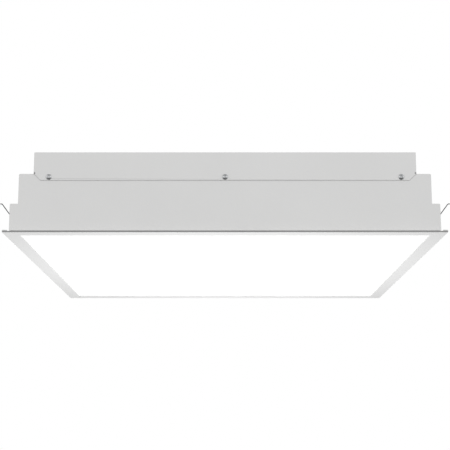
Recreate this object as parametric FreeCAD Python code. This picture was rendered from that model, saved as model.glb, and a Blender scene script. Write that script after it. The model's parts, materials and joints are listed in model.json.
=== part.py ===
import FreeCAD, Part
import math
import os

# Recessed troffer light, 600 module, 595 x 595 mm diffuser frame, 113 mm deep.
# +X is the width, +Y points away from the front end plate, +Z is up.
# The origin is the centre of the frame's underside.  Millimetres.

V = FreeCAD.Vector

# ---------------------------------------------------------------- dimensions
FRAME = 595.0            # diffuser frame, outside, square
BAND = 20.0              # visible width of the frame's underside
RIM_T = 2.0              # frame rim thickness
LEDGE_T = 1.15           # ledge that carries the diffuser
UPSTAND_T = 1.2          # stiffening upstand of the frame
UPSTAND_TOP = 12.0
UPSTAND_IN = 281.6       # inner face of the upstand from the centre line

DIFF_HALF = 281.0        # opal diffuser
DIFF_T = 2.0

BODY = 580.0             # lowest tier of the housing, square
TIER2 = 558.0            # second tier, width
COVER_W = 518.2          # gear cover, width
SHEET = 0.8              # body sheet
BEND = 1.4               # middle-line bend radius
FLANGE_BOT = 2.3         # hemmed flange, underside
FLANGE_TOP = 3.5
FLANGE_END_X = 291.5     # relief notch: the flange's corner tongue starts here
NOTCH_L = 8.3
Z_TIER3 = 41.0           # top of the lowest tier
Z_TIER2 = 82.5           # top of the pan
Z_COVER = 112.7          # top of the gear cover
COVER_FLANGE_Z = 73.5    # lower edge of the cover's end flanges
COVER_CHAMFER = 9.5
COVER_IN_Y = 290.1       # inner face of the cover's end flanges

SCREW_X = 238.4          # cover screws
SCREW_Z = 78.0
SCREW_HEAD_R = 4.0
SCREW_HEAD_H = 2.4
SCREW_R = 1.95
SCREW_HOLE_R = 2.15

CLIP_Y = 257.5           # spring clips, from the centre
CLIP_CX = 293.5          # coil axis
CLIP_CZ = 26.47
CLIP_COIL_R = 1.95       # middle line of the coil
CLIP_PIN_R = 1.10
CLIP_WIRE_R = 0.65
CLIP_ROOT = (296.85, 34.2)  # a point on the arm's straight run
CLIP_BEND = (306.8, 47.5)
CLIP_TIP_X = 309.6
CLIP_RIVET_Z = (21.6, 34.6)

HINGE_X = 200.0          # hinge straps
HINGE_Y = 284.5          # hinge axis
HINGE_Z = 8.0
HINGE_DROP = 28.0        # travel of the straps

SUSP_X, SUSP_Y, SUSP_R = 269.0, 200.0, 3.25     # suspension holes
CABLE_X, CABLE_Y, CABLE_R = 190.0, 236.0, 5.25  # cable entry

TRAY_Z = 76.0            # underside of the LED tray
TRAY_HALF = 262.0
REFL_LOW = 276.5
REFL_Z = 13.0

os.makedirs("parts", exist_ok=True)
NODES = {}


# ------------------------------------------------------------------- helpers
def box(x0, y0, z0, x1, y1, z1):
    return Part.makeBox(abs(x1 - x0), abs(y1 - y0), abs(z1 - z0),
                        V(min(x0, x1), min(y0, y1), min(z0, z1)))


def cyl(r, h, p, d=(0, 0, 1)):
    return Part.makeCylinder(r, h, V(*p), V(*d))


def poly(points):
    pts = [V(*p) for p in points]
    return Part.Face(Part.makePolygon(pts + [pts[0]]))


def prism(points, vec):
    return poly(points).extrude(V(*vec))


def fuse(shapes):
    out = shapes[0]
    if len(shapes) > 1:
        out = out.multiFuse(shapes[1:])
    return out.removeSplitter()


def one(shape):
    """The single solid of a fused shape."""
    s = shape.Solids
    assert len(s) == 1, "expected one solid, got %d" % len(s)
    return s[0]


def group(solids):
    flat = []
    for s in solids:
        flat.extend(s.Solids)
    return Part.makeCompound(flat)


def mx(shape):
    """Mirror in the YZ plane."""
    return shape.mirror(V(0, 0, 0), V(1, 0, 0))


def my(shape):
    """Mirror in the XZ plane."""
    return shape.mirror(V(0, 0, 0), V(0, 1, 0))


def bent_sheet(path, t, r, make3d, vec):
    """A folded sheet: path is its middle line, r the middle-line bend radius."""
    n = len(path)
    left, right = [], []

    def unit(a, b):
        d = (b[0] - a[0], b[1] - a[1])
        m = math.hypot(*d)
        return (d[0] / m, d[1] / m)

    h = t / 2.0
    for i in range(n):
        p = path[i]
        if i == 0 or i == n - 1:
            u = unit(path[0], path[1]) if i == 0 else unit(path[-2], path[-1])
            nl = (-u[1], u[0])
            left.append(("p", (p[0] + nl[0] * h, p[1] + nl[1] * h)))
            right.append(("p", (p[0] - nl[0] * h, p[1] - nl[1] * h)))
            continue
        u0, u1 = unit(path[i - 1], p), unit(p, path[i + 1])
        cross = u0[0] * u1[1] - u0[1] * u1[0]
        turn = math.atan2(cross, u0[0] * u1[0] + u0[1] * u1[1])
        s = 1.0 if turn > 0 else -1.0
        back = r * math.tan(abs(turn) / 2.0)
        a = (p[0] - u0[0] * back, p[1] - u0[1] * back)
        c = (a[0] - s * u0[1] * r, a[1] + s * u0[0] * r)
        for side, lst in ((1.0, left), (-1.0, right)):
            rr = r - side * s * h
            pts = []
            for k in (0.0, 0.5, 1.0):
                ang = turn * k
                vx, vy = (a[0] - c[0]) / r, (a[1] - c[1]) / r
                x = vx * math.cos(ang) - vy * math.sin(ang)
                y = vx * math.sin(ang) + vy * math.cos(ang)
                pts.append((c[0] + x * rr, c[1] + y * rr))
            lst.append(("a", pts))

    def chain(items):
        edges, last = [], None
        for kind, val in items:
            first = val if kind == "p" else val[0]
            if last is not None and math.hypot(first[0] - last[0], first[1] - last[1]) > 1e-7:
                edges.append(Part.LineSegment(V(*make3d(last)), V(*make3d(first))).toShape())
            if kind == "a":
                edges.append(Part.Arc(V(*make3d(val[0])), V(*make3d(val[1])), V(*make3d(val[2]))).toShape())
                last = val[2]
            else:
                last = val
        return edges

    edges = chain(left)
    edges.append(Part.LineSegment(V(*make3d(left[-1][1])), V(*make3d(right[-1][1]))).toShape())
    edges += chain(right)
    edges.append(Part.LineSegment(V(*make3d(left[0][1])), V(*make3d(right[0][1]))).toShape())
    wire = Part.Wire(Part.__sortEdges__(edges))
    return Part.Face(wire).extrude(V(*vec))


def wire_tube(points, dia, name, radii=None):
    """A wire along straight runs joined by tangent arcs."""
    pts = [V(*p) for p in points]
    n = len(pts)
    edges, last, total, smallest = [], pts[0], 0.0, 1e9
    for i in range(1, n - 1):
        a, b, c = pts[i - 1], pts[i], pts[i + 1]
        u, v = (b - a), (c - b)
        lu, lv = u.Length, v.Length
        u, v = u / lu, v / lv
        turn = math.acos(max(-1.0, min(1.0, u.dot(v))))
        back = 0.45 * min(lu, lv)
        r = back / math.tan(turn / 2.0)
        if radii:
            r = min(r, radii)
            back = r * math.tan(turn / 2.0)
        smallest = min(smallest, r)
        p0, p1 = b - u * back, b + v * back
        bis = (v - u)
        bis = bis / bis.Length
        centre = b + bis * (r / math.cos(turn / 2.0))
        mid = centre - bis * r
        if (p0 - last).Length > 1e-6:
            edges.append(Part.LineSegment(last, p0).toShape())
            total += (p0 - last).Length
        edges.append(Part.Arc(p0, mid, p1).toShape())
        total += r * turn
        last = p1
    edges.append(Part.LineSegment(last, pts[-1]).toShape())
    total += (pts[-1] - last).Length
    path = Part.Wire(edges)
    d = pts[1] - pts[0]
    prof = Part.Wire([Part.makeCircle(dia / 2.0, pts[0], d)])
    tube = path.makePipeShell([prof], True, True)
    tube = tube.Solids[0] if tube.Solids else Part.Solid(tube)
    want = math.pi * dia * dia / 4.0 * total
    print("%-14s length %7.2f  smallest radius %5.2f  volume ratio %.4f"
          % (name, total, smallest, tube.Volume / want))
    return tube


def put(name, shape):
    NODES[name] = shape


# ------------------------------------------------------- diffuser frame (door)
H = FRAME / 2.0
IN = H - BAND
profile = [(IN, 0), (H, 0), (H, RIM_T), (UPSTAND_IN + UPSTAND_T, RIM_T),
           (UPSTAND_IN + UPSTAND_T, UPSTAND_TOP), (UPSTAND_IN, UPSTAND_TOP),
           (UPSTAND_IN, LEDGE_T), (IN, LEDGE_T)]


def frame_member():
    """Right-hand member, mitred at both ends."""
    bar = prism([(x, -H, z) for x, z in profile], (0, FRAME, 0))
    wedge = prism([(0, 0, -1), (H + 5, H + 5, -1), (H + 5, -H - 5, -1)], (0, 0, UPSTAND_TOP + 2))
    return one(bar.common(wedge))


right = frame_member()
members = {}
for name, ang in (("frame_right", 0), ("frame_rear", 90), ("frame_left", 180), ("frame_front", 270)):
    s = right.copy()
    s.rotate(V(0, 0, 0), V(0, 0, 1), ang)
    members[name] = s
# the rear member's upstand is notched where the hinge straps pass
for sx in (-1, 1):
    members["frame_rear"] = members["frame_rear"].cut(
        box(sx * HINGE_X - 12, UPSTAND_IN - 1, RIM_T, sx * HINGE_X + 12, UPSTAND_IN + UPSTAND_T + 1, UPSTAND_TOP + 1))
for name, s in members.items():
    put(name, one(s))

# corner keys lie in the channel outside the upstand
keys = []
k_in, k_out, k_top, k_len = 283.0, 288.5, 4.6, 34.0
key = fuse([box(k_out - k_len, k_in, RIM_T, k_out, k_out, k_top),
            box(k_in, k_out - k_len, RIM_T, k_out, k_out, k_top)])
for a in range(4):
    s = key.copy()
    s.rotate(V(0, 0, 0), V(0, 0, 1), 90 * a)
    keys.append(s)
put("corner_keys", group(keys))

# opal diffuser and the spring tabs that hold it down
diff = box(-DIFF_HALF, -DIFF_HALF, LEDGE_T, DIFF_HALF, DIFF_HALF, LEDGE_T + DIFF_T)
put("diffuser", diff)
tabs = []
tz = LEDGE_T + DIFF_T
tab = fuse([box(UPSTAND_IN - 0.6, -9, tz, UPSTAND_IN, 9, 11.0),
            box(UPSTAND_IN - 7.0, -9, tz, UPSTAND_IN, 9, tz + 0.6)])
for a in range(4):
    for off in (-130, 130):
        s = tab.copy()
        s.translate(V(0, off, 0))
        s.rotate(V(0, 0, 0), V(0, 0, 1), 90 * a)
        tabs.append(s)
put("diffuser_tabs", group(tabs))

# hinge ears, spot-welded on the rear rim
ears = []
ear_t, ear_x = 1.5, 7.0
for sx in (-1, 1):
    xh = sx * HINGE_X
    foot = box(xh - 10, 283.1, RIM_T, xh + 10, 288.4, RIM_T + 1.2)
    parts = [foot]
    for side in (-1, 1):
        x0 = xh + (ear_x if side > 0 else -ear_x - ear_t)
        plate = prism([(x0, 283.1, RIM_T), (x0, 287.2, RIM_T), (x0, 287.0, HINGE_Z), (x0, 282.0, HINGE_Z),
                       (x0, 282.0, 6.0), (x0, 283.1, 4.0)], (ear_t, 0, 0))
        eye = cyl(2.5, ear_t, (x0, HINGE_Y, HINGE_Z), (1, 0, 0))
        parts += [plate, eye]
    s = fuse(parts).cut(cyl(1.26, 30, (xh - 15, HINGE_Y, HINGE_Z), (1, 0, 0)))
    ears.append(one(s))
put("hinge_ears", group(ears))
put("hinge_pins", group([fuse([cyl(1.25, 19.4, (sx * HINGE_X - 9.7, HINGE_Y, HINGE_Z), (1, 0, 0)),
                               cyl(2.0, 1.0, (sx * HINGE_X + (9.0 if sx > 0 else -10.0), HINGE_Y, HINGE_Z), (1, 0, 0))])
                         for sx in (-1, 1)]))

# ------------------------------------------------------- hinge straps (slide)
straps = []
STRAP_TOP = 66.5
for sx in (-1, 1):
    xh = sx * HINGE_X
    strap = box(xh - 6.5, HINGE_Y - 0.75, HINGE_Z, xh + 6.5, HINGE_Y + 0.75, STRAP_TOP)
    stop = box(xh - 10, HINGE_Y - 0.75, STRAP_TOP - 2.0, xh + 10, HINGE_Y + 0.75, STRAP_TOP)
    eye = cyl(2.3, 13.0, (xh - 6.5, HINGE_Y, HINGE_Z), (1, 0, 0))
    s = fuse([strap, stop, eye]).cut(cyl(1.31, 20, (xh - 10, HINGE_Y, HINGE_Z), (1, 0, 0)))
    straps.append(one(s))
put("hinge_straps", group(straps))

# hinge guides: folded hat sections riveted inside the rear end plate
guides, grivets = [], []
B = BODY / 2.0
BI = B - SHEET
for sx in (-1, 1):
    xh = sx * HINGE_X
    g = fuse([box(xh - 7.8, 282.5, 16, xh + 7.8, 283.3, 36),
              box(xh - 7.8, 282.5, 16, xh - 7.0, BI, 36),
              box(xh + 7.0, 282.5, 16, xh + 7.8, BI, 36),
              box(xh - 16, BI - 0.8, 16, xh - 7.0, BI, 36),
              box(xh + 7.0, BI - 0.8, 16, xh + 16, BI, 36)])
    for ox in (-12, 12):
        for oz in (21, 31):
            p = (xh + ox, BI - 2.2, oz)
            g = g.cut(cyl(1.3, 10, (xh + ox, BI - 5, oz), (0, 1, 0)))
            grivets.append(fuse([cyl(2.4, 1.4, p, (0, 1, 0)), cyl(1.25, 3.8, p, (0, 1, 0))]))
    guides.append(one(g))
put("hinge_guides", group(guides))
put("guide_rivets", group(grivets))

# ------------------------------------------------------------- housing (root)
m = SHEET / 2.0
T2 = TIER2 / 2.0
path = [(-(B - m), FLANGE_BOT), (-(B - m), Z_TIER3 - m), (-(T2 - m), Z_TIER3 - m), (-(T2 - m), Z_TIER2 - m),
        (T2 - m, Z_TIER2 - m), (T2 - m, Z_TIER3 - m), (B - m, Z_TIER3 - m), (B - m, FLANGE_BOT)]
shell = bent_sheet(path, SHEET, BEND, lambda p: (p[0], -BI, p[1]), (0, 2 * BI, 0))
flanges = []
for sx in (-1, 1):
    flanges.append(box(sx * (B - 0.4), -(H - NOTCH_L), FLANGE_BOT, sx * H, H - NOTCH_L, FLANGE_TOP))
    flanges.append(box(sx * FLANGE_END_X, -H, FLANGE_BOT, sx * H, H, FLANGE_TOP))
shell = fuse([shell] + flanges)
# suspension holes, tray screw holes, wire grommet hole, earth and bracket screw holes
TRAY_SC = [(sx * 240.0, sy * 172.0) for sx in (-1, 1) for sy in (-1, 1)]
WG = (-190.0, 30.0)
DRV_SC = [(-150.0, 0.0), (150.0, 0.0)]
TERM = (190.0, 160.0)
EARTH = (232.0, 150.0)
CLAMP = (190.0, 205.0)
for sx in (-1, 1):
    for sy in (-1, 1):
        shell = shell.cut(cyl(SUSP_R, 6, (sx * SUSP_X, sy * SUSP_Y, Z_TIER2 - 3)))
        for z in CLIP_RIVET_Z:
            shell = shell.cut(cyl(1.3, 6, (sx * (B - 3), sy * CLIP_Y, z), (sx, 0, 0)))
for x, y in TRAY_SC:
    shell = shell.cut(cyl(2.0, 6, (x, y, Z_TIER2 - 3)))
shell = shell.cut(cyl(6.0, 6, (WG[0], WG[1], Z_TIER2 - 3)))
for x, y in DRV_SC + [EARTH, (TERM[0] - 24, TERM[1]), (TERM[0] + 24, TERM[1]), (CLAMP[0] - 12, CLAMP[1]), (CLAMP[0] + 12, CLAMP[1])]:
    shell = shell.cut(cyl(1.55, 6, (x, y, Z_TIER2 - 3)))
put("housing_shell", one(shell))

# end plates: stepped outline, rounded lower step corner, outward hemmed flange
R3 = BEND + m


def end_plate(sign):
    c = 1 - math.sqrt(0.5)
    y = sign * BI
    P = lambda x, z: V(x, y, z)
    e = []

    def line(a, b):
        e.append(Part.LineSegment(P(*a), P(*b)).toShape())

    def arc(a, b, d):
        e.append(Part.Arc(P(*a), P(*b), P(*d)).toShape())

    for s in (1, -1):
        line((s * B, FLANGE_BOT), (s * B, Z_TIER3 - R3))
        arc((s * B, Z_TIER3 - R3), (s * (B - c * R3), Z_TIER3 - c * R3), (s * (B - R3), Z_TIER3))
        line((s * (B - R3), Z_TIER3), (s * T2, Z_TIER3))
        line((s * T2, Z_TIER3), (s * T2, Z_TIER2 - R3))
        arc((s * T2, Z_TIER2 - R3), (s * (T2 - c * R3), Z_TIER2 - c * R3), (s * (T2 - R3), Z_TIER2))
    line((T2 - R3, Z_TIER2), (-(T2 - R3), Z_TIER2))
    line((B, FLANGE_BOT), (-B, FLANGE_BOT))
    face = Part.Face(Part.Wire(Part.__sortEdges__(e)))
    plate = face.extrude(V(0, sign * SHEET, 0))
    fl = box(-287.0, sign * (B - 0.4), FLANGE_BOT, 287.0, sign * H, FLANGE_TOP)
    plate = fuse([plate, fl])
    for x in (-SCREW_X, 0.0, SCREW_X):
        plate = plate.cut(cyl(SCREW_HOLE_R, 6, (x, sign * (B - 3), SCREW_Z), (0, sign, 0)))
    if sign > 0:
        for sx in (-1, 1):
            for ox in (-12, 12):
                for oz in (21, 31):
                    plate = plate.cut(cyl(1.3, 6, (sx * HINGE_X + ox, B - 3, oz), (0, 1, 0)))
    return one(plate)


put("front_end_plate", end_plate(-1))
put("rear_end_plate", end_plate(1))

# gear cover: a folded lid whose end flanges lap the end plates
CW = COVER_W / 2.0
CY = COVER_IN_Y + SHEET
side_z = Z_TIER2 + 0.1
roof = box(-CW, -CY, Z_COVER - SHEET, CW, CY, Z_COVER)
walls = [roof]
for s in (-1, 1):
    walls.append(box(s * (CW - SHEET), -CY, side_z, s * CW, CY, Z_COVER))
    out = [(-CW, Z_COVER), (-CW, COVER_FLANGE_Z + COVER_CHAMFER), (-CW + COVER_CHAMFER, COVER_FLANGE_Z),
           (CW - COVER_CHAMFER, COVER_FLANGE_Z), (CW, COVER_FLANGE_Z + COVER_CHAMFER), (CW, Z_COVER)]
    walls.append(prism([(x, s * COVER_IN_Y, z) for x, z in out], (0, s * SHEET, 0)))
cover = fuse(walls)
rounds = [ed for ed in cover.Edges
          if len(ed.Vertexes) == 2 and abs(ed.Vertexes[0].Z - Z_COVER) < 1e-6 and abs(ed.Vertexes[1].Z - Z_COVER) < 1e-6]
cover = cover.makeFillet(0.7, rounds)
for s in (-1, 1):
    for sx in (-1, 1):
        cover = cover.cut(cyl(1.15, 6, (sx * (CW - 0.95), s * (B - 2.5), Z_TIER2 + 0.75), (0, s, 0)))
    for x in (-SCREW_X, 0.0, SCREW_X):
        cover = cover.cut(cyl(SCREW_HOLE_R, 6, (x, s * (B - 3), SCREW_Z), (0, s, 0)))
cover = cover.cut(cyl(11.5, 6, (CABLE_X, CABLE_Y, Z_COVER - 3)))
put("gear_cover", one(cover))


def pan_screw(p, d, head_r, head_h, shank_r, shank_l, recess=True):
    """Pan-head screw: p is the seat of the head, d points out of the head."""
    dv = V(*d)
    head = Part.makeCylinder(head_r, head_h, V(*p), dv)
    top = [ed for ed in head.Edges if ed.Curve.TypeId == "Part::GeomCircle" and (ed.CenterOfMass - (V(*p) + dv * head_h)).Length < 1e-6]
    head = head.makeFillet(head_h * 0.55, top)
    s = head.fuse(Part.makeCylinder(shank_r, shank_l + 0.5, V(*p) - dv * shank_l, dv))
    if recess:
        a = dv.cross(V(0, 0, 1) if abs(d[2]) < 0.5 else V(1, 0, 0))
        b = dv.cross(a)
        for u, w in ((a, b), (b, a)):
            L, Wd, dp = head_r * 1.05, head_r * 0.24, head_h * 0.6
            o = V(*p) + dv * (head_h - dp)
            q = [o + u * (L / 2) + w * (Wd / 2), o - u * (L / 2) + w * (Wd / 2), o - u * (L / 2) - w * (Wd / 2), o + u * (L / 2) - w * (Wd / 2)]
            s = s.cut(Part.Face(Part.makePolygon(q + [q[0]])).extrude(dv * (head_h + 1)))
    return one(s.removeSplitter())


screws, nuts = [], []
for s in (-1, 1):
    for x in (-SCREW_X, 0.0, SCREW_X):
        screws.append(pan_screw((x, s * CY, SCREW_Z), (0, s, 0), SCREW_HEAD_R, SCREW_HEAD_H, SCREW_R, 7.0))
        nuts.append(cyl(3.6, 2.6, (x, s * BI, SCREW_Z), (0, -s, 0)).cut(cyl(SCREW_R + 0.02, 6, (x, s * (BI + 1), SCREW_Z), (0, -s, 0))))
put("cover_screws", group(screws))
put("clinch_nuts", group(nuts))

# catch magnets on holders inside the front end plate; they pull on the steel frame
mags, holders = [], []
for x in (-150.0, 150.0):
    holders.append(fuse([box(x - 14, -BI, 5.5, x + 14, -BI + 0.8, 24.0), box(x - 14, -BI, 9.6, x + 14, -283.2, 10.4)]))
    mags.append(box(x - 11, -BI + 1.0, 2.5, x + 11, -283.4, 9.6))
put("magnet_holders", group(holders))
put("catch_magnets", group(mags))

# ----------------------------------------------------------------- side clips
dx, dz = CLIP_BEND[0] - CLIP_ROOT[0], CLIP_BEND[1] - CLIP_ROOT[1]
L = math.hypot(dx, dz)
ux, uz = dx / L, dz / L
r_mid = CLIP_COIL_R
tx, tzz = CLIP_CX - uz * r_mid, CLIP_CZ + ux * r_mid      # tangent point on the coil
assert abs((tx - CLIP_ROOT[0]) * uz - (tzz - CLIP_ROOT[1]) * ux) < 0.02


def clip_spring():
    """Right-hand clip at y = 0: coil, arm, tip."""
    coil = cyl(CLIP_COIL_R + CLIP_WIRE_R, 11.0, (CLIP_CX, -5.5, CLIP_CZ), (0, 1, 0)).cut(
        cyl(CLIP_COIL_R - CLIP_WIRE_R, 12.0, (CLIP_CX, -6.0, CLIP_CZ), (0, 1, 0)))
    back, r = 1.1, None
    p0 = V(tx, -4.6, tzz)
    pb = V(tx + (CLIP_BEND[1] - tzz) * ux / uz, -4.6, CLIP_BEND[1])
    pe = V(CLIP_TIP_X, -4.6, CLIP_BEND[1])
    u = (pb - p0).normalize()
    v = V(1, 0, 0)
    turn = math.acos(u.dot(v))
    a, b = pb - u * back, pb + v * back
    r = back / math.tan(turn / 2)
    bis = (v - u)
    bis = bis / bis.Length
    c = pb + bis * (r / math.cos(turn / 2))
    mid = c - bis * r
    wire = Part.Wire([Part.LineSegment(p0, a).toShape(), Part.Arc(a, mid, b).toShape(), Part.LineSegment(b, pe).toShape()])
    arm = wire.makePipeShell([Part.Wire([Part.makeCircle(CLIP_WIRE_R, p0, u)])], True, True)
    arm = arm.Solids[0] if arm.Solids else Part.Solid(arm)
    return one(fuse([coil, arm]))


def clip_bracket():
    """Right-hand bracket at y = 0."""
    base = box(B, -10, 18.6, B + 0.6, 10, 38.5)
    parts = [base]
    for s in (-1, 1):
        y0 = 6.4 if s > 0 else -7.4
        ear = prism([(B, y0, 21.5), (B + 3.9, y0, 22.9), (B + 5.1, y0, 24.6), (B + 5.1, y0, 28.3), (B + 3.9, y0, 30.0), (B, y0, 31.4)], (0, 1.0, 0))
        parts.append(ear)
    s = fuse(parts).cut(cyl(CLIP_PIN_R + 0.02, 30, (CLIP_CX, -15, CLIP_CZ), (0, 1, 0)))
    for z in CLIP_RIVET_Z:
        s = s.cut(cyl(1.3, 6, (B - 3, 0, z), (1, 0, 0)))
    return one(s)


spring, bracket = clip_spring(), clip_bracket()
pin = cyl(CLIP_PIN_R, 16.4, (CLIP_CX, -8.2, CLIP_CZ), (0, 1, 0))
brk, pins, crv = [], [], []
for sx, sy, name in ((-1, -1, "front_left"), (1, -1, "front_right"), (-1, 1, "rear_left"), (1, 1, "rear_right")):
    def place(s):
        s = s.copy()
        if sy > 0:
            s = my(s)
        s.translate(V(0, sy * CLIP_Y, 0))
        return mx(s) if sx < 0 else s
    put("spring_clip_" + name, one(place(spring)))
    brk.append(place(bracket))
    pins.append(place(pin))
    for z in CLIP_RIVET_Z:
        crv.append(fuse([cyl(1.25, 2.6, (sx * (B - 1.6), sy * CLIP_Y, z), (sx, 0, 0)),
                         cyl(2.2, 0.9, (sx * (B + 0.6), sy * CLIP_Y, z), (sx, 0, 0)),
                         cyl(1.9, 0.8, (sx * (BI - 0.8), sy * CLIP_Y, z), (sx, 0, 0))]))
put("clip_brackets", group(brk))
put("clip_pins", group(pins))
put("clip_rivets", group(crv))

# ------------------------------------------------------------ LED tray, optics
STRIP_Y = [-215.0, -129.0, -43.0, 43.0, 129.0, 215.0]
RIV_X = [-200.0, 0.0, 200.0]
tray = box(-TRAY_HALF, -TRAY_HALF, TRAY_Z, TRAY_HALF, TRAY_HALF, TRAY_Z + SHEET)
for x, y in TRAY_SC:
    tray = tray.cut(cyl(2.0, 4, (x, y, TRAY_Z - 1)))
tray = tray.cut(cyl(5.0, 4, (WG[0], WG[1], TRAY_Z - 1)))
strips, leds, brivets = [], [], []
for y in STRIP_Y:
    b = box(-250, y - 10, TRAY_Z - 1.2, 250, y + 10, TRAY_Z)
    for x in RIV_X:
        b = b.cut(cyl(1.55, 3, (x, y, TRAY_Z - 2)))
        tray = tray.cut(cyl(1.55, 3, (x, y, TRAY_Z - 1)))
        brivets.append(fuse([cyl(3.0, 0.8, (x, y, TRAY_Z - 2.0)), cyl(1.5, 4.0, (x, y, TRAY_Z - 1.6))]))
    strips.append(b)
    for k in range(10):
        leds.append(box(-225 + 50 * k - 1.75, y - 1.75, TRAY_Z - 2.0, -225 + 50 * k + 1.75, y + 1.75, TRAY_Z - 1.2))
put("led_tray", one(tray))
put("led_strips", group(strips))
put("leds", group(leds))
put("board_rivets", group(brivets))

# sloped reflector sheets, one each side, mitred
d_in = SHEET * 1.03
zt = TRAY_Z - 0.05


def reflector():
    """Right-hand reflector sheet."""
    full = prism([(TRAY_HALF - d_in, -300, zt), (TRAY_HALF, -300, zt), (REFL_LOW + d_in - 0.02, -300, REFL_Z), (REFL_LOW, -300, REFL_Z)], (0, 600, 0))
    wedge = prism([(0, 0.0, 0), (299, 298.95, 0), (299, -298.95, 0)], (0, 0, 90))
    return one(full.common(wedge))


refl = reflector()
for name, ang in (("reflector_right", 0), ("reflector_rear", 90), ("reflector_left", 180), ("reflector_front", 270)):
    s = refl.copy()
    s.rotate(V(0, 0, 0), V(0, 0, 1), ang)
    put(name, s)

spacers, tscrews, tnuts = [], [], []
for x, y in TRAY_SC:
    spacers.append(cyl(4.0, Z_TIER2 - SHEET - TRAY_Z - SHEET, (x, y, TRAY_Z + SHEET)).cut(cyl(2.0, 10, (x, y, TRAY_Z))))
    tscrews.append(pan_screw((x, y, TRAY_Z), (0, 0, -1), 3.8, 1.9, SCREW_R, 10.0))
    tnuts.append(prism([(x + 4.0 * math.cos(math.radians(60 * k)), y + 4.0 * math.sin(math.radians(60 * k)), Z_TIER2) for k in range(6)], (0, 0, 3.0))
                 .cut(cyl(SCREW_R + 0.02, 8, (x, y, Z_TIER2 - 2))))
put("tray_spacers", group(spacers))
put("tray_screws", group(tscrews))
put("tray_nuts", group(tnuts))

# -------------------------------------------------------------- control gear
G = Z_TIER2
case = box(-140, -15, G, 140, 15, G + 21)
case = case.makeFillet(2.0, [e for e in case.Edges if abs(e.BoundBox.ZMin - (G + 21)) < 1e-6 and e.BoundBox.XLength > 100])
put("driver_case", one(case))
caps = []
for s in (-1, 1):
    c = fuse([box(s * 140, -13.5, G, s * 145, 13.5, G + 18), box(s * 140, -13.5, G, s * 157, 13.5, G + 2.0)])
    c = c.cut(cyl(2.1, 6, (s * 150, 0, G - 1)))
    caps.append(one(c))
put("driver_end_caps", group(caps))
put("driver_screws", group([pan_screw((x, y, G + 2.0), (0, 0, 1), 3.2, 1.7, 1.5, 6.0) for x, y in DRV_SC]))

# mains terminal block with three release buttons
tb = box(TERM[0] - 16, TERM[1] - 11, G + 3.0, TERM[0] + 16, TERM[1] + 11, G + 19.0)
for k in (-1, 0, 1):
    cx = TERM[0] + 10 * k
    tb = tb.cut(box(cx - 2.8, TERM[1] - 6.3, G + 13.0, cx + 2.8, TERM[1] - 0.7, G + 20.0))     # button well
    for sy in (-1, 1):
        tb = tb.cut(cyl(1.9, 7.0, (cx, TERM[1] + sy * 11.5, G + 8.0), (0, -sy, 0)))            # wire funnels
put("terminal_block", one(tb))
for k, nm in ((-1, "left"), (0, "middle"), (1, "right")):
    cx = TERM[0] + 10 * k
    put("terminal_button_" + nm, box(cx - 2.5, TERM[1] - 6.0, G + 14.6, cx + 2.5, TERM[1] - 1.0, G + 20.4))
brkt = fuse([box(TERM[0] - 30, TERM[1] - 9, G, TERM[0] + 30, TERM[1] + 9, G + 1.2),
             box(TERM[0] - 16.8, TERM[1] - 9, G, TERM[0] - 16.0, TERM[1] + 9, G + 8.0),
             box(TERM[0] + 16.0, TERM[1] - 9, G, TERM[0] + 16.8, TERM[1] + 9, G + 8.0),
             box(TERM[0] - 14, TERM[1] - 9, G, TERM[0] + 14, TERM[1] + 9, G + 3.0)])
for ox in (-24, 24):
    brkt = brkt.cut(cyl(1.6, 8, (TERM[0] + ox, TERM[1], G - 2)))
put("terminal_bracket", one(brkt))
put("terminal_screws", group([pan_screw((TERM[0] + ox, TERM[1], G + 1.2), (0, 0, 1), 3.0, 1.6, 1.5, 5.0) for ox in (-24, 24)]))

# earth screw with its washer under the head
put("earth_screw", pan_screw((EARTH[0], EARTH[1], G + 2.4), (0, 0, 1), 3.6, 2.2, 1.5, 6.0))
put("earth_washer", cyl(4.5, 0.8, (EARTH[0], EARTH[1], G)).cut(cyl(1.6, 4, (EARTH[0], EARTH[1], G - 1))))

# cable clamp: a saddle over the supply cable's place
sad = fuse([box(CLAMP[0] - 17, CLAMP[1] - 5, G, CLAMP[0] - 7, CLAMP[1] + 5, G + 1.5),
            box(CLAMP[0] + 7, CLAMP[1] - 5, G, CLAMP[0] + 17, CLAMP[1] + 5, G + 1.5),
            box(CLAMP[0] - 8.5, CLAMP[1] - 5, G, CLAMP[0] - 7, CLAMP[1] + 5, G + 11.5),
            box(CLAMP[0] + 7, CLAMP[1] - 5, G, CLAMP[0] + 8.5, CLAMP[1] + 5, G + 11.5),
            box(CLAMP[0] - 8.5, CLAMP[1] - 5, G + 10.0, CLAMP[0] + 8.5, CLAMP[1] + 5, G + 11.5)])
for ox in (-12, 12):
    sad = sad.cut(cyl(1.6, 8, (CLAMP[0] + ox, CLAMP[1], G - 2)))
put("cable_clamp", one(sad))
put("clamp_screws", group([pan_screw((CLAMP[0] + ox, CLAMP[1], G + 1.5), (0, 0, 1), 2.8, 1.6, 1.5, 5.0) for ox in (-12, 12)]))

# cable entry grommet in the gear cover's roof, wire grommet in the pan
gr = fuse([cyl(14.0, 2.0, (CABLE_X, CABLE_Y, Z_COVER)), cyl(11.4, SHEET + 1.0, (CABLE_X, CABLE_Y, Z_COVER - SHEET - 0.5)),
           cyl(13.5, 2.0, (CABLE_X, CABLE_Y, Z_COVER - SHEET - 2.0))]).cut(cyl(CABLE_R, 12, (CABLE_X, CABLE_Y, Z_COVER - 6)))
put("cable_grommet", one(gr))
wg = fuse([cyl(8.0, 1.5, (WG[0], WG[1], G)), cyl(5.9, SHEET + 1.0, (WG[0], WG[1], G - SHEET - 0.5)),
           cyl(7.6, 1.2, (WG[0], WG[1], G - SHEET - 1.2))]).cut(cyl(4.0, 8, (WG[0], WG[1], G - 5)))
put("wire_grommet", one(wg))

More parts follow.
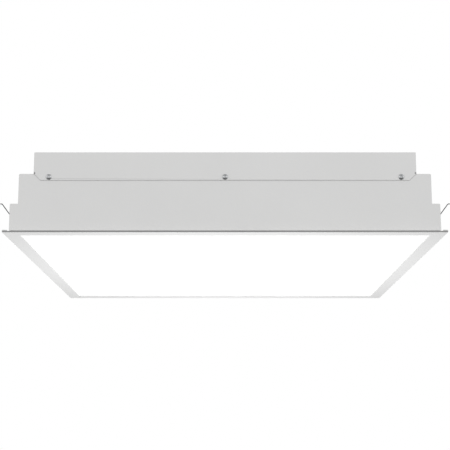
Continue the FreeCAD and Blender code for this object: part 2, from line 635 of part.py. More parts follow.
# wires lie on the pan between the terminal, the gear and the earth screw
D = 1.8
zc = G + 1.2
put("wire_live", wire_tube([(180, 150.5, G + 8), (180, 141, G + 6.5), (178, 128, zc + 2), (172, 90, zc), (168, 50, zc), (163, 22, zc + 1.5), (158.5, 8, G + 5.5), (146.2, 6, G + 6)], D, "wire_live", 12.0))
put("wire_neutral", wire_tube([(190, 150.5, G + 8), (190, 141, G + 6.5), (188, 126, zc + 2), (180, 88, zc), (176, 48, zc), (170, 16, zc + 1.5), (160, 0.5, G + 8.0), (146.2, 0, G + 9)], D, "wire_neutral", 12.0))
put("wire_earth", wire_tube([(200, 150.5, G + 8), (200.5, 143, G + 6.5), (206, 133, zc + 1.5), (217, 131, zc + 0.3), (227, 137, zc + 0.2), (230.5, 145.5, G + 1.7)], D, "wire_earth", 8.0))
put("led_wire_plus", wire_tube([(-146.2, 5, G + 8), (-156, 5.5, G + 7.2), (-168, 13, zc + 2), (-179, 24, zc + 3.2), (-187.2, 29.8, G + 1.8), (-188.2, 30.2, TRAY_Z + 2.6)], D, "led_wire_plus", 8.0))
put("led_wire_minus", wire_tube([(-146.2, -5, G + 8), (-157, -4.0, G + 7.0), (-171, 6, zc + 2), (-184, 21, zc + 3.6), (-191.2, 28.4, G + 1.8), (-191.8, 29.4, TRAY_Z + 2.6)], D, "led_wire_minus", 8.0))

# ------------------------------------------------------------------- export
for name, shape in NODES.items():
    assert shape.isValid(), name
    for s in shape.Solids:
        assert s.Volume > 0, name
    shape.exportStep("parts/%s.step" % name)
print(len(NODES), "nodes")
allc = Part.makeCompound(list(NODES.values()))
b = allc.BoundBox
print("box", [round(v, 3) for v in (b.XMin, b.YMin, b.ZMin, b.XMax, b.YMax, b.ZMax)])
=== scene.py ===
import json
import math

import bmesh
import bpy
from mathutils import Matrix, Vector

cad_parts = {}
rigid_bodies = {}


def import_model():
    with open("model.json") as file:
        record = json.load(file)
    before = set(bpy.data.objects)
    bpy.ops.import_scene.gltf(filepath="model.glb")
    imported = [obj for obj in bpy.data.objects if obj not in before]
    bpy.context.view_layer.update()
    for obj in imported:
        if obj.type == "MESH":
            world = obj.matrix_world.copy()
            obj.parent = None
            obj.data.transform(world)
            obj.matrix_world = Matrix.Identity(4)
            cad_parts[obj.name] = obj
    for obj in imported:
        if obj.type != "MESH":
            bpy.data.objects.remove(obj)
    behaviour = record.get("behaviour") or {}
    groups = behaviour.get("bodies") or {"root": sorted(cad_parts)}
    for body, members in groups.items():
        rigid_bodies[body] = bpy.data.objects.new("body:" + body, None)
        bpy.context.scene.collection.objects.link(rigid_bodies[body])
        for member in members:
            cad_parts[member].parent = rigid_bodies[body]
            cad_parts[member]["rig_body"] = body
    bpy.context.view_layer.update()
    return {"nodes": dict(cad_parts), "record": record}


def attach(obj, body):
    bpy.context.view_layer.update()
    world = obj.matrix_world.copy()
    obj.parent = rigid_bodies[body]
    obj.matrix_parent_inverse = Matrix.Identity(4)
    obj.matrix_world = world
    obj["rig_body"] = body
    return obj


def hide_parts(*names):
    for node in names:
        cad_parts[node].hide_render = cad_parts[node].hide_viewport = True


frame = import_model()
NODES = frame["nodes"]

# ------------------------------------------------------------------ dimensions
# metres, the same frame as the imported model: origin at the centre of the
# diffuser frame's underside, +Z up, the front end plate faces -Y
HALF = 0.2975            # diffuser frame, half its outside width
BAND = 0.020             # visible width of the frame's underside
SCREW_X = 0.2384         # cover screws
SCREW_Z = 0.078
SCREW_SEAT = 0.2909      # outer face of the cover's end flanges
CLIP_Y = 0.2575          # spring clips
CLIP_C = (0.2935, 0.02647)
CLIP_R = 0.00065         # wire radius
COIL_R = 0.00195         # middle line of the coil
CLIP_ROOT = (0.29685, 0.0342)
CLIP_BEND = (0.3068, 0.0475)
CLIP_TIP = 0.3096

scene = bpy.context.scene
collection = scene.collection


# --------------------------------------------------------------------- shading
class Graph:
    """A small helper that builds one material's node tree."""

    def __init__(self, name):
        self.mat = bpy.data.materials.new(name)
        self.mat.use_nodes = True
        self.tree = self.mat.node_tree
        self.tree.nodes.clear()
        self.out = self.node("ShaderNodeOutputMaterial")
        self.bsdf = self.node("ShaderNodeBsdfPrincipled")
        self.link(self.bsdf.outputs["BSDF"], self.out.inputs["Surface"])
        self.coord = self.node("ShaderNodeTexCoord").outputs["Object"]

    def node(self, kind, **props):
        n = self.tree.nodes.new(kind)
        for k, v in props.items():
            setattr(n, k, v)
        return n

    def link(self, a, b):
        self.tree.links.new(a, b)

    def put(self, socket, value):
        if isinstance(value, bpy.types.NodeSocket):
            self.link(value, socket)
        else:
            socket.default_value = value

    def set(self, **values):
        for k, v in values.items():
            self.put(self.bsdf.inputs[k.replace("_", " ")], v)

    def mapping(self, scale, vector=None, rotation=(0, 0, 0)):
        n = self.node("ShaderNodeMapping")
        self.link(vector or self.coord, n.inputs["Vector"])
        n.inputs["Scale"].default_value = scale
        n.inputs["Rotation"].default_value = rotation
        return n.outputs["Vector"]

    def noise(self, scale, detail=2.0, rough=0.5, vector=None, distortion=0.0):
        n = self.node("ShaderNodeTexNoise")
        self.link(vector or self.coord, n.inputs["Vector"])
        n.inputs["Scale"].default_value = scale
        n.inputs["Detail"].default_value = detail
        n.inputs["Roughness"].default_value = rough
        n.inputs["Distortion"].default_value = distortion
        return n.outputs["Fac"]

    def voronoi(self, scale, vector=None, feature="F1", out="Distance"):
        n = self.node("ShaderNodeTexVoronoi", feature=feature)
        self.link(vector or self.coord, n.inputs["Vector"])
        n.inputs["Scale"].default_value = scale
        return n.outputs[out]

    def remap(self, value, a, b, lo, hi):
        n = self.node("ShaderNodeMapRange", clamp=True)
        self.link(value, n.inputs["Value"])
        for k, v in (("From Min", a), ("From Max", b), ("To Min", lo), ("To Max", hi)):
            n.inputs[k].default_value = v
        return n.outputs["Result"]

    def math(self, op, a, b=0.0, c=0.0):
        n = self.node("ShaderNodeMath", operation=op)
        self.put(n.inputs[0], a)
        self.put(n.inputs[1], b)
        self.put(n.inputs[2], c)
        return n.outputs[0]

    def mix(self, fac, a, b):
        n = self.node("ShaderNodeMix", data_type="RGBA")
        self.put(n.inputs[0], fac)
        for s, v in ((n.inputs[6], a), (n.inputs[7], b)):
            if isinstance(v, bpy.types.NodeSocket):
                self.link(v, s)
            else:
                s.default_value = (*v[:3], 1.0)
        return n.outputs[2]

    def bump(self, height, distance, strength=1.0, normal=None):
        n = self.node("ShaderNodeBump")
        self.link(height, n.inputs["Height"])
        n.inputs["Distance"].default_value = distance
        n.inputs["Strength"].default_value = strength
        if normal is not None:
            self.link(normal, n.inputs["Normal"])
        return n.outputs["Normal"]

    def xyz(self, vector=None):
        n = self.node("ShaderNodeSeparateXYZ")
        self.link(vector or self.coord, n.inputs[0])
        return n.outputs


def shade(c, k):
    return tuple(min(1.0, v * k) for v in c[:3])


def powder(name, colour, rough=0.5, grain=950.0, depth=2.2e-5, vary=0.022, specular=0.4):
    """Powder coat: fine orange peel, faint cloudiness, slightly uneven gloss."""
    g = Graph(name)
    cloud = g.noise(9.0, 4.0, 0.6)
    fine = g.noise(grain, 3.0, 0.55)
    mottled = g.math("ADD", g.math("MULTIPLY", cloud, 0.6), g.math("MULTIPLY", fine, 0.4))
    g.set(Base_Color=g.mix(g.remap(mottled, 0.3, 0.7, 0.0, 1.0), shade(colour, 1 - vary), shade(colour, 1 + vary)),
          Roughness=g.remap(g.noise(240.0, 2.0), 0.3, 0.7, rough - 0.05, rough + 0.06),
          Normal=g.bump(fine, depth, 0.55),
          Metallic=0.0)
    g.bsdf.inputs["Specular IOR Level"].default_value = specular
    return g.mat


def plastic(name, colour, rough=0.38, grain=1500.0, depth=8e-6, vary=0.03, specular=0.45):
    g = Graph(name)
    g.set(Base_Color=g.mix(g.remap(g.noise(60.0, 3.0), 0.3, 0.7, 0.0, 1.0), shade(colour, 1 - vary), shade(colour, 1 + vary)),
          Roughness=g.remap(g.noise(300.0, 2.0), 0.3, 0.7, rough - 0.05, rough + 0.07),
          Normal=g.bump(g.noise(grain, 2.0), depth, 0.5),
          Metallic=0.0)
    g.bsdf.inputs["Specular IOR Level"].default_value = specular
    return g.mat


def metal(name, colour, rough=0.3, along=(1, 1, 1), grain=900.0, depth=4e-6, vary=0.08, metallic=1.0):
    """Bare or plated metal, with drawn or rolled grain when one axis of along is small."""
    g = Graph(name)
    streak = g.noise(grain, 4.0, 0.6, g.mapping(along))
    patch = g.noise(45.0, 3.0, 0.6)
    g.set(Base_Color=g.mix(g.remap(patch, 0.3, 0.7, 0.0, 1.0), shade(colour, 1 - vary), shade(colour, 1 + vary)),
          Roughness=g.remap(streak, 0.3, 0.7, max(0.04, rough - 0.08), rough + 0.1),
          Normal=g.bump(streak, depth, 0.5),
          Metallic=metallic)
    return g.mat


def galvanised(name, colour=(0.60, 0.61, 0.62), rough=0.36):
    """Zinc coat with its spangle: small facets that differ in tone and gloss."""
    g = Graph(name)
    warp = g.node("ShaderNodeMix", data_type="VECTOR")
    warp.inputs[0].default_value = 0.02
    g.link(g.coord, warp.inputs[4])
    n = g.node("ShaderNodeTexNoise")
    g.link(g.coord, n.inputs["Vector"])
    n.inputs["Scale"].default_value = 90.0
    g.link(n.outputs["Color"], warp.inputs[5])
    cell = g.node("ShaderNodeTexVoronoi", feature="F1")
    g.link(warp.outputs[1], cell.inputs["Vector"])
    cell.inputs["Scale"].default_value = 170.0
    tone = g.xyz(cell.outputs["Color"])[0]
    g.set(Base_Color=g.mix(tone, shade(colour, 0.86), shade(colour, 1.12)),
          Roughness=g.remap(g.xyz(cell.outputs["Color"])[1], 0.0, 1.0, rough - 0.06, rough + 0.12),
          Normal=g.bump(g.math("ADD", g.math("MULTIPLY", tone, 0.4), g.noise(700.0, 3.0)), 6e-6, 0.5),
          Metallic=0.9)
    return g.mat


def opal(name):
    """Satin opal acrylic, lit evenly from behind."""
    g = Graph(name)
    cloud = g.noise(5.0, 2.0)
    g.set(Base_Color=g.mix(g.remap(cloud, 0.3, 0.7, 0.0, 1.0), (0.49, 0.49, 0.488), (0.51, 0.51, 0.508)),
          Roughness=g.remap(g.noise(400.0, 2.0), 0.3, 0.7, 0.34, 0.44),
          Normal=g.bump(g.noise(1800.0, 2.0), 6e-6, 0.5))
    g.bsdf.inputs["Emission Color"].default_value = (1.0, 1.0, 0.995, 1.0)
    g.bsdf.inputs["Emission Strength"].default_value = 0.738
    g.bsdf.inputs["Specular IOR Level"].default_value = 0.3
    return g.mat


def rubber(name):
    g = Graph(name)
    g.set(Base_Color=g.mix(g.remap(g.noise(80.0, 3.0), 0.3, 0.7, 0.0, 1.0), (0.022, 0.022, 0.023), (0.034, 0.034, 0.035)),
          Roughness=g.remap(g.noise(500.0, 2.0), 0.3, 0.7, 0.55, 0.72),
          Normal=g.bump(g.noise(1600.0, 3.0), 1.5e-5, 0.6))
    return g.mat


def striped_wire(name):
    """Green insulation with a yellow stripe winding along it."""
    g = Graph(name)
    o = g.xyz()
    along = g.math("ADD", g.math("MULTIPLY", o[0], 260.0), g.math("MULTIPLY", o[1], 330.0))
    wave = g.math("ADD", g.math("MULTIPLY", o[2], 900.0), along)
    stripe = g.math("GREATER_THAN", g.math("FRACT", wave), 0.62)
    g.set(Base_Color=g.mix(stripe, (0.05, 0.25, 0.035), (0.72, 0.58, 0.03)),
          Roughness=g.remap(g.noise(500.0, 2.0), 0.3, 0.7, 0.32, 0.44),
          Normal=g.bump(g.noise(1500.0, 2.0), 6e-6, 0.4))
    return g.mat


def board(name):
    """White solder mask over copper tracks: the tracks show as a faint relief."""
    g = Graph(name)
    o = g.xyz()
    track = g.math("LESS_THAN", g.math("ABSOLUTE", g.math("SUBTRACT", g.math("FRACT", g.math("MULTIPLY", o[1], 1 / 0.0043)), 0.5)), 0.40)
    gap = g.math("GREATER_THAN", g.math("ABSOLUTE", g.math("SUBTRACT", g.math("FRACT", g.math("MULTIPLY", g.math("ADD", o[0], 0.225), 20.0)), 0.5)), 0.04)
    relief = g.math("MULTIPLY", track, gap)
    speck = g.noise(700.0, 2.0)
    g.set(Base_Color=g.mix(relief, (0.74, 0.745, 0.72), (0.84, 0.845, 0.83)),
          Roughness=g.remap(speck, 0.3, 0.7, 0.30, 0.42),
          Normal=g.bump(g.math("ADD", relief, g.math("MULTIPLY", speck, 0.2)), 2.5e-5, 0.6))
    return g.mat


def phosphor(name):
    g = Graph(name)
    g.set(Base_Color=g.mix(g.remap(g.noise(1400.0, 2.0), 0.35, 0.65, 0.0, 1.0), (0.88, 0.68, 0.16), (0.93, 0.76, 0.24)),
          Roughness=g.remap(g.noise(900.0, 2.0), 0.3, 0.7, 0.3, 0.45),
          Normal=g.bump(g.noise(1400.0, 2.0), 1e-5, 0.5))
    g.bsdf.inputs["Emission Color"].default_value = (1.0, 0.93, 0.78, 1.0)
    g.bsdf.inputs["Emission Strength"].default_value = 0.35
    return g.mat


GREY = (0.72, 0.72, 0.716)
WHITE = (0.785, 0.785, 0.783)

M = {
    "body_paint": powder("powder_light_grey", GREY),
    "frame_paint": powder("powder_white", WHITE, rough=0.42, grain=1100.0, depth=1.2e-5, vary=0.012, specular=0.27),
    # frame_edge: painted shade, a dark grey on the frame's outer edge faces that stands in for the dark line of shade
    # along that edge
    "frame_edge": powder("bare_edge_grey", (0.29, 0.29, 0.29), rough=0.5, vary=0.08, specular=0.3),
    "reflector_paint": powder("reflector_white", (0.80, 0.80, 0.795), rough=0.55, grain=1300.0, depth=8e-6, vary=0.012),
    "opal": opal("opal_acrylic"),
    "bright_zinc": metal("bright_zinc", (0.66, 0.67, 0.68), rough=0.16, grain=700.0, depth=2e-6, vary=0.06),
    "zinc": galvanised("galvanised_steel"),
    "spring_steel": metal("spring_steel_strip", (0.36, 0.36, 0.365), rough=0.30, grain=1800.0, along=(1, 0.3, 1), vary=0.08),
    "spring_wire": metal("drawn_spring_wire", (0.14, 0.14, 0.145), rough=0.34, grain=2600.0, along=(1, 0.2, 1), vary=0.12),
    "rivet_alu": metal("rivet_aluminium", (0.74, 0.74, 0.75), rough=0.36, grain=1200.0, vary=0.05),
    "magnet": metal("nickel_plate", (0.58, 0.57, 0.55), rough=0.22, grain=500.0, vary=0.05),
    "board_white": board("led_board"),
    "led_body": plastic("led_package", (0.86, 0.86, 0.85), rough=0.3),
    "led": phosphor("led_phosphor"),
    "nylon": plastic("white_nylon", (0.80, 0.80, 0.77), rough=0.4),
    "driver_case": powder("driver_case_white", (0.78, 0.78, 0.775), rough=0.4, grain=800.0, vary=0.015),
    "driver_caps": plastic("driver_cap_plastic", (0.82, 0.82, 0.80), rough=0.42),
    "terminal_grey": plastic("terminal_polyamide", (0.36, 0.37, 0.38), rough=0.45),
    "button_orange": plastic("button_orange", (0.78, 0.20, 0.03), rough=0.3),
    "brass": metal("brass", (0.66, 0.48, 0.20), rough=0.28, grain=800.0, vary=0.08),
    "grommet": rubber("black_rubber"),
    "wire_brown": plastic("wire_brown", (0.085, 0.032, 0.014), rough=0.38, vary=0.08),
    "wire_blue": plastic("wire_blue", (0.02, 0.07, 0.34), rough=0.38, vary=0.08),
    "wire_green": striped_wire("wire_green_yellow"),
    "wire_red": plastic("wire_red", (0.42, 0.016, 0.014), rough=0.38, vary=0.08),
    "wire_black": plastic("wire_black", (0.016, 0.016, 0.017), rough=0.38, vary=0.08),
}

SLOT_OF = {}
for s in frame["record"]["subparts"]:
    SLOT_OF[s["node"] if "node" in s else s["name"]] = s.get("material_slot")


# -------------------------------------------------------- carried-over CAD nodes
def paint(obj, *mats):
    obj.data.materials.clear()
    for m in mats:
        obj.data.materials.append(m)


EDGE = {  # edge rounding by node, metres
    "housing_shell": 1.2e-4, "front_end_plate": 1.2e-4, "rear_end_plate": 1.2e-4, "gear_cover": 3.0e-4,
    "frame_right": 1.6e-4, "frame_left": 1.6e-4, "frame_front": 1.6e-4, "frame_rear": 1.6e-4,
    "diffuser": 3.0e-4, "driver_case": 3.0e-4, "driver_end_caps": 3.0e-4, "terminal_block": 3.0e-4,
    "terminal_button_left": 4.0e-4, "terminal_button_middle": 4.0e-4, "terminal_button_right": 4.0e-4,
    "cable_grommet": 5.0e-4, "wire_grommet": 3.0e-4, "catch_magnets": 3.0e-4, "corner_keys": 2.5e-4,
    "hinge_straps": 2.0e-4, "cable_clamp": 2.5e-4, "led_strips": 1.5e-4, "tray_nuts": 3.0e-4,
}
MEMBER = {"frame_right": (0, 1), "frame_left": (0, -1), "frame_rear": (1, 1), "frame_front": (1, -1)}
PLAIN = {"wire_live", "wire_neutral", "wire_earth", "led_wire_plus", "led_wire_minus"}


def finished(name, *mats):
    """The node's own shape with its edges rounded, flat faces kept whole and shaded evenly."""
    src = NODES[name]
    bm = bmesh.new()
    bm.from_mesh(src.data)
    bmesh.ops.remove_doubles(bm, verts=bm.verts, dist=1e-6)
    bmesh.ops.dissolve_degenerate(bm, dist=1e-7, edges=bm.edges)
    bmesh.ops.dissolve_limit(bm, angle_limit=math.radians(0.5), verts=bm.verts, edges=bm.edges, use_dissolve_boundaries=False)
    bmesh.ops.recalc_face_normals(bm, faces=bm.faces)
    sharp = [e for e in bm.edges if len(e.link_faces) == 2 and e.calc_face_angle(0.0) > math.radians(32)]
    width = EDGE.get(name, 1.2e-4)
    bmesh.ops.bevel(bm, geom=sharp, offset=width, offset_type="OFFSET", segments=2, profile=0.5, affect="EDGES",
                    clamp_overlap=False, loop_slide=True, material=-1)
    bm.normal_update()
    for f in bm.faces:
        f.smooth = True
        if name in MEMBER:
            axis, sign = MEMBER[name]
            c = f.calc_center_median()
            # the outer edge face of a frame member takes the second material, the dark grey painted shade along the
            # frame's edge
            f.material_index = 1 if f.normal[axis] * sign > 0.8 and abs(c[axis] * sign - HALF) < 2e-4 else 0
    me = bpy.data.meshes.new(name + "_finished")
    for m in mats:
        me.materials.append(m)
    bm.to_mesh(me)
    bm.free()
    obj = bpy.data.objects.new(name + "_finished", me)
    collection.objects.link(obj)
    even = obj.modifiers.new("even", "WEIGHTED_NORMAL")
    even.mode = "FACE_AREA"
    even.weight = 70
    even.keep_sharp = False
    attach(obj, src["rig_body"])
    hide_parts(name)
    return obj


REBUILT = {"cover_screws", "leds", "spring_clip_front_left", "spring_clip_front_right", "spring_clip_rear_left", "spring_clip_rear_right"}
for name, obj in NODES.items():
    if name in REBUILT:
        continue
    mat = M[SLOT_OF[name]]
    if name in PLAIN:
        paint(obj, mat)
        for p in obj.data.polygons:
            p.use_smooth = True
    elif name in MEMBER:
        # frame members: white paint on their faces, dark grey painted shade on the outer edge
        finished(name, M["frame_paint"], M["frame_edge"])
    else:
        finished(name, mat)


# ------------------------------------------------------------------ new pieces
def piece(name, bm, body, mats, nodes=(), smooth=True):
    me = bpy.data.meshes.new(name)
    bmesh.ops.recalc_face_normals(bm, faces=bm.faces)
    bm.to_mesh(me)
    bm.free()
    obj = bpy.data.objects.new(name, me)
    collection.objects.link(obj)
    for m in mats:
        me.materials.append(m)
    if smooth:
        for p in me.polygons:
            p.use_smooth = True
    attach(obj, body)
    if nodes:
        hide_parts(*nodes)
    return obj


def lathe(bm, profile, origin, axis, steps=40, index=0):
    """Turns a profile of (radius, height) about an axis; a radius of 0 closes it."""
    z = Vector(axis).normalized()
    x = z.orthogonal().normalized()
    y = z.cross(x)
    rings = []
    for r, h in profile:
        if r < 1e-9:
            rings.append([bm.verts.new(Vector(origin) + z * h)])
        else:
            rings.append([bm.verts.new(Vector(origin) + z * h + (x * math.cos(2 * math.pi * k / steps) + y * math.sin(2 * math.pi * k / steps)) * r)
                          for k in range(steps)])
    for a, b in zip(rings, rings[1:]):
        for k in range(steps):
            j = (k + 1) % steps
            va = [a[k], a[j]] if len(a) > 1 else [a[0]]
            vb = [b[j], b[k]] if len(b) > 1 else [b[0]]
            if len(va) + len(vb) >= 3:
                f = bm.faces.new(va + vb)
                f.material_index = index
    return rings


# cover screws: pan heads with a cross recess
def dome_profile(r, h, n=10):
    """A low domed head: a spherical crown over a short straight rim."""
    rim = h * 0.18
    c = h - rim
    sphere = (r * r + c * c) / (2 * c)
    top = math.asin(min(1.0, r / sphere))
    out = [(0.0, h)]
    for k in range(1, n + 1):
        a = top * k / n
        out.append((sphere * math.sin(a), h - sphere * (1 - math.cos(a))))
    out += [(r, rim * 0.35), (r * 0.97, 0.0), (0.0, 0.0)]
    return out


def cross_cutter(r, h, axis, origin, turn):
    """A tapered cross that cuts the recess of a screw head."""
    bm = bmesh.new()
    z = Vector(axis).normalized()
    x = Vector((0, 0, 1)) if abs(z.z) < 0.5 else Vector((1, 0, 0))
    x = (x - z * x.dot(z)).normalized()
    y = z.cross(x)
    c, s = math.cos(turn), math.sin(turn)
    x, y = x * c + y * s, y * c - x * s
    w, l = r * 0.13, r * 0.56
    outline = [(w, w), (w, l), (-w, l), (-w, w), (-l, w), (-l, -w), (-w, -w), (-w, -l), (w, -l), (w, -w), (l, -w), (l, w)]
    rings = []
    for k, hh in ((1.0, h * 1.3), (0.72, h * 0.25)):
        rings.append([bm.verts.new(Vector(origin) + z * hh + x * (p[0] * (1 if k == 1 else 0.85)) + y * (p[1] * (1 if k == 1 else 0.85))) if k == 1
                      else bm.verts.new(Vector(origin) + z * hh + x * (p[0] * 0.6) + y * (p[1] * 0.6)) for p in outline])
    n = len(outline)
    for i in range(n):
        j = (i + 1) % n
        bm.faces.new((rings[0][i], rings[0][j], rings[1][j], rings[1][i]))
    bm.faces.new(rings[0])
    bm.faces.new(list(reversed(rings[1])))
    bmesh.ops.recalc_face_normals(bm, faces=bm.faces)
    return bm


screws = bmesh.new()
for sy in (-1, 1):
    for sx in (-1, 0, 1):
        o = (sx * SCREW_X, sy * SCREW_SEAT, SCREW_Z)
        head = bmesh.new()
        lathe(head, dome_profile(0.0040, 0.0024), o, (0, sy, 0), 48)
        bmesh.ops.recalc_face_normals(head, faces=head.faces)
        hm = bpy.data.meshes.new("tmp_head")
        head.to_mesh(hm)
        head.free()
        ho = bpy.data.objects.new("tmp_head", hm)
        collection.objects.link(ho)
        cut = cross_cutter(0.0040, 0.0024, (0, sy, 0), o, {-1: 0.35, 0: 0.9, 1: 1.2}[sx])
        cm = bpy.data.meshes.new("tmp_cut")
        cut.to_mesh(cm)
        cut.free()
        co = bpy.data.objects.new("tmp_cut", cm)
        collection.objects.link(co)
        mod = ho.modifiers.new("cut", "BOOLEAN")
        mod.operation = "DIFFERENCE"
        mod.solver = "EXACT"
        mod.object = co
        bpy.context.view_layer.update()
        done = bpy.data.meshes.new_from_object(ho.evaluated_get(bpy.context.evaluated_depsgraph_get()))
        screws.from_mesh(done)
        for ob, md in ((ho, hm), (co, cm)):
            bpy.data.objects.remove(ob)
            bpy.data.meshes.remove(md)
        bpy.data.meshes.remove(done)
screw_obj = piece("cover_screw_heads", screws, "housing", [M["bright_zinc"]], ["cover_screws"])
screw_obj.data.set_sharp_from_angle(angle=math.radians(38))

# side clips: wire coils with the arm leaving tangentially
dx, dz = CLIP_BEND[0] - CLIP_ROOT[0], CLIP_BEND[1] - CLIP_ROOT[1]
ln = math.hypot(dx, dz)
ux, uz = dx / ln, dz / ln


def clip_line():
    """Middle line of the right-hand clip at y = 0."""
    pts = []
    turns, pitch = 7.0, 0.00136
    start = math.atan2(ux, -uz)        # where the tangent points along the arm
    steps = 22
    total = int(turns * steps)
    for k in range(total + 1):
        a = start + 2 * math.pi * (total - k) / steps
        y = -0.0046 + pitch * (total - k) / steps
        pts.append((CLIP_C[0] + COIL_R * math.cos(a), y, CLIP_C[1] + COIL_R * math.sin(a)))
    tx, tz = CLIP_C[0] - uz * COIL_R, CLIP_C[1] + ux * COIL_R
    length = (CLIP_BEND[1] - tz) / uz
    bend = Vector((tx + ux * length, 0, CLIP_BEND[1]))
    back, r = 0.0011, None
    u, v = Vector((ux, 0, uz)), Vector((1, 0, 0))
    for k in range(1, 8):
        p = Vector((tx, 0, tz)) + u * (length - back) * k / 8
        pts.append((p.x, -0.0046, p.z))
    a, b = bend - u * back, bend + v * back
    for k in range(0, 9):
        t = k / 8
        p = a * (1 - t) ** 2 + bend * 2 * t * (1 - t) + b * t ** 2
        pts.append((p.x, -0.0046, p.z))
    pts.append((CLIP_TIP - 0.0002, -0.0046, CLIP_BEND[1]))
    pts.append((CLIP_TIP, -0.0046, CLIP_BEND[1]))
    return [Vector(p) for p in pts]


def tube(bm, line, radius, sides=12, round_end=True):
    """A round wire along a line, with softly domed ends."""
    n = len(line)
    rings = []
    normal = None
    for i, p in enumerate(line):
        t = (line[min(i + 1, n - 1)] - line[max(i - 1, 0)]).normalized()
        if normal is None:
            normal = t.orthogonal().normalized()
        normal = (normal - t * normal.dot(t)).normalized()
        other = t.cross(normal)
        r = radius * (0.72 if round_end and i in (0, n - 1) else 1.0)
        rings.append([bm.verts.new(p + (normal * math.cos(2 * math.pi * k / sides) + other * math.sin(2 * math.pi * k / sides)) * r) for k in range(sides)])
    for a, b in zip(rings, rings[1:]):
        for k in range(sides):
            j = (k + 1) % sides
            bm.faces.new((a[k], a[j], b[j], b[k]))
    bm.faces.new(list(reversed(rings[0])))
    bm.faces.new(rings[-1])


for sx, sy, name in ((-1, -1, "front_left"), (1, -1, "front_right"), (-1, 1, "rear_left"), (1, 1, "rear_right")):
    bm = bmesh.new()
    line = [Vector((sx * p.x, sy * CLIP_Y + (p.y if sy < 0 else -p.y), p.z)) for p in clip_line()]
    tube(bm, line, CLIP_R)
    piece("spring_wire_" + name, bm, "clip_" + name, [M["spring_wire"]], ["spring_clip_" + name])

# LED packages: a white frame with a phosphor pool in it
leds = bmesh.new()
for y in (-0.215, -0.129, -0.043, 0.043, 0.129, 0.215):
    for k in range(10):
        cx, cy, z0, z1 = -0.225 + 0.05 * k, y, 0.0748, 0.0740
        a, b, c = 0.00175, 0.00128, 0.00118

        def square(h, z, ch):
            q = [(h - ch, h), (-h + ch, h), (-h, h - ch), (-h, -h + ch), (-h + ch, -h), (h - ch, -h), (h, -h + ch), (h, h - ch)]
            return [leds.verts.new((cx + p[0], cy + p[1], z)) for p in q]

        rings = [square(a, z0, 0.00012), square(a, z1 + 0.00008, 0.00012), square(a - 0.00007, z1, 0.00016),
                 square(b, z1, 0.0004), square(c, z1 + 0.00016, 0.0004)]
        for i, (p, q) in enumerate(zip(rings, rings[1:])):
            for m in range(8):
                n = (m + 1) % 8
                leds.faces.new((p[m], p[n], q[n], q[m])).material_index = 0
        leds.faces.new(rings[-1]).material_index = 1
        leds.faces.new(list(reversed(rings[0]))).material_index = 0
piece("led_packages", leds, "housing", [M["led_body"], M["led"]], ["leds"], smooth=False)

# ------------------------------------------------------- floor, lights, camera
floor_bm = bmesh.new()
bmesh.ops.create_grid(floor_bm, x_segments=8, y_segments=8, size=9.0)
floor_me = bpy.data.meshes.new("studio_floor")
floor_bm.to_mesh(floor_me)
floor_bm.free()
floor = bpy.data.objects.new("studio_floor", floor_me)
floor.location = (0, 0, -2.5)
floor.visible_diffuse = False
floor.visible_glossy = False
collection.objects.link(floor)
g = Graph("pale_floor")
g.set(Base_Color=g.mix(g.remap(g.noise(1.5, 3.0), 0.3, 0.7, 0.0, 1.0), (0.80, 0.80, 0.795), (0.82, 0.82, 0.815)),
      Roughness=g.remap(g.noise(20.0, 2.0), 0.3, 0.7, 0.72, 0.85))
g.bsdf.inputs["Specular IOR Level"].default_value = 0.1
g.bsdf.inputs["Emission Color"].default_value = (1.0, 1.0, 1.0, 1.0)
g.bsdf.inputs["Emission Strength"].default_value = 0.24
floor_me.materials.append(g.mat)

world = bpy.data.worlds.new("studio")
scene.world = world
world.use_nodes = True
wt = world.node_tree
wt.nodes.clear()


def sky(stops):
    """A background whose brightness runs from straight down (0) to straight up (1)."""
    coord = wt.nodes.new("ShaderNodeTexCoord")
    sep = wt.nodes.new("ShaderNodeSeparateXYZ")
    rng = wt.nodes.new("ShaderNodeMapRange")
    rng.inputs["From Min"].default_value = -1.0
    rng.inputs["From Max"].default_value = 1.0
    ramp = wt.nodes.new("ShaderNodeValToRGB")
    bg = wt.nodes.new("ShaderNodeBackground")
    wt.links.new(coord.outputs["Generated"], sep.inputs[0])
    wt.links.new(sep.outputs[2], rng.inputs["Value"])
    wt.links.new(rng.outputs["Result"], ramp.inputs["Fac"])
    wt.links.new(ramp.outputs["Color"], bg.inputs["Color"])
    cr = ramp.color_ramp
    while len(cr.elements) < len(stops):
        cr.elements.new(0.5)
    for el, (pos, v) in zip(cr.elements, stops):
        el.position = pos
        el.color = (v, v, v, 1)
    return bg.outputs[0]


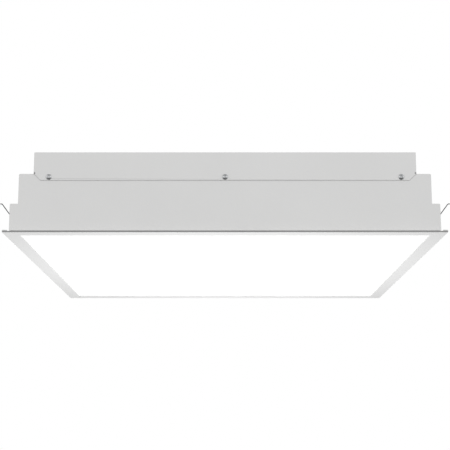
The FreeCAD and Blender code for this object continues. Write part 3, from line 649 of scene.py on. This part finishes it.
w_out = wt.nodes.new("ShaderNodeOutputWorld")
w_path = wt.nodes.new("ShaderNodeLightPath")
w_back = wt.nodes.new("ShaderNodeBackground")
w_back.inputs["Color"].default_value = (1, 1, 1, 1)
soft = sky([(0.0, 0.50), (0.42, 0.56), (0.5, 0.70), (0.65, 0.80), (1.0, 0.72)])
studio = sky([(0.0, 0.13), (0.17, 0.17), (0.30, 0.40), (0.44, 0.60), (0.52, 0.90), (0.68, 1.0), (0.80, 0.66), (1.0, 0.36)])
w_gloss = wt.nodes.new("ShaderNodeMixShader")
w_mix = wt.nodes.new("ShaderNodeMixShader")
wt.links.new(w_path.outputs["Is Glossy Ray"], w_gloss.inputs["Fac"])
wt.links.new(soft, w_gloss.inputs[1])
wt.links.new(studio, w_gloss.inputs[2])
wt.links.new(w_path.outputs["Is Camera Ray"], w_mix.inputs["Fac"])
wt.links.new(w_gloss.outputs[0], w_mix.inputs[1])
wt.links.new(w_back.outputs[0], w_mix.inputs[2])
wt.links.new(w_mix.outputs[0], w_out.inputs["Surface"])


def area(name, place, target, size, power, size_y=None):
    light = bpy.data.lights.new(name, "AREA")
    light.shape = "RECTANGLE" if size_y else "SQUARE"
    light.size = size
    if size_y:
        light.size_y = size_y
    light.energy = power
    obj = bpy.data.objects.new(name, light)
    collection.objects.link(obj)
    obj.location = place
    obj.rotation_euler = (Vector(target) - Vector(place)).to_track_quat("-Z", "Y").to_euler()
    obj.visible_camera = False
    return obj


key = area("key_above_front", (0.0, -2.3, 1.5), (0, -0.25, 0.05), 2.4, 21.0, 1.2)
key.visible_glossy = False
below = area("fill_from_below", (0.0, 0.0, -0.5), (0, 0, 0), 0.4, 3.15, 0.58)
below.visible_glossy = False
# the fill lights the diffuser frame and the outside only; the diffuser glows by
# itself, and with the door open the lamp chamber keeps its own softer light
SHADED = ("diffuser", "reflector_", "led_", "board_rivets", "tray_screws", "wire_grommet", "magnet", "catch_magnets")
chamber = bpy.data.collections.new("lamp_chamber")
for o in collection.objects:
    if o.type == "MESH" and o.name.startswith(SHADED):
        chamber.objects.link(o)
for c in chamber.collection_objects:
    c.light_linking.link_state = "EXCLUDE"
below.light_linking.receiver_collection = chamber

scene.view_settings.view_transform = "Standard"
scene.view_settings.look = "None"
scene.view_settings.exposure = 0.0
scene.view_settings.gamma = 1.0

cam_data = bpy.data.cameras.new("camera")
cam = bpy.data.objects.new("camera", cam_data)
collection.objects.link(cam)
cam_data.sensor_width = 36.0
cam_data.lens = 78.789
cam_data.shift_x = 0.0
cam_data.shift_y = 0.11
cam_data.clip_start = 0.05
cam_data.clip_end = 40.0
cam.location = (0.0, -1.58099, -0.28004)
cam.rotation_euler = (math.radians(90.0 + 9.850), 0.0, 0.0)
scene.camera = cam
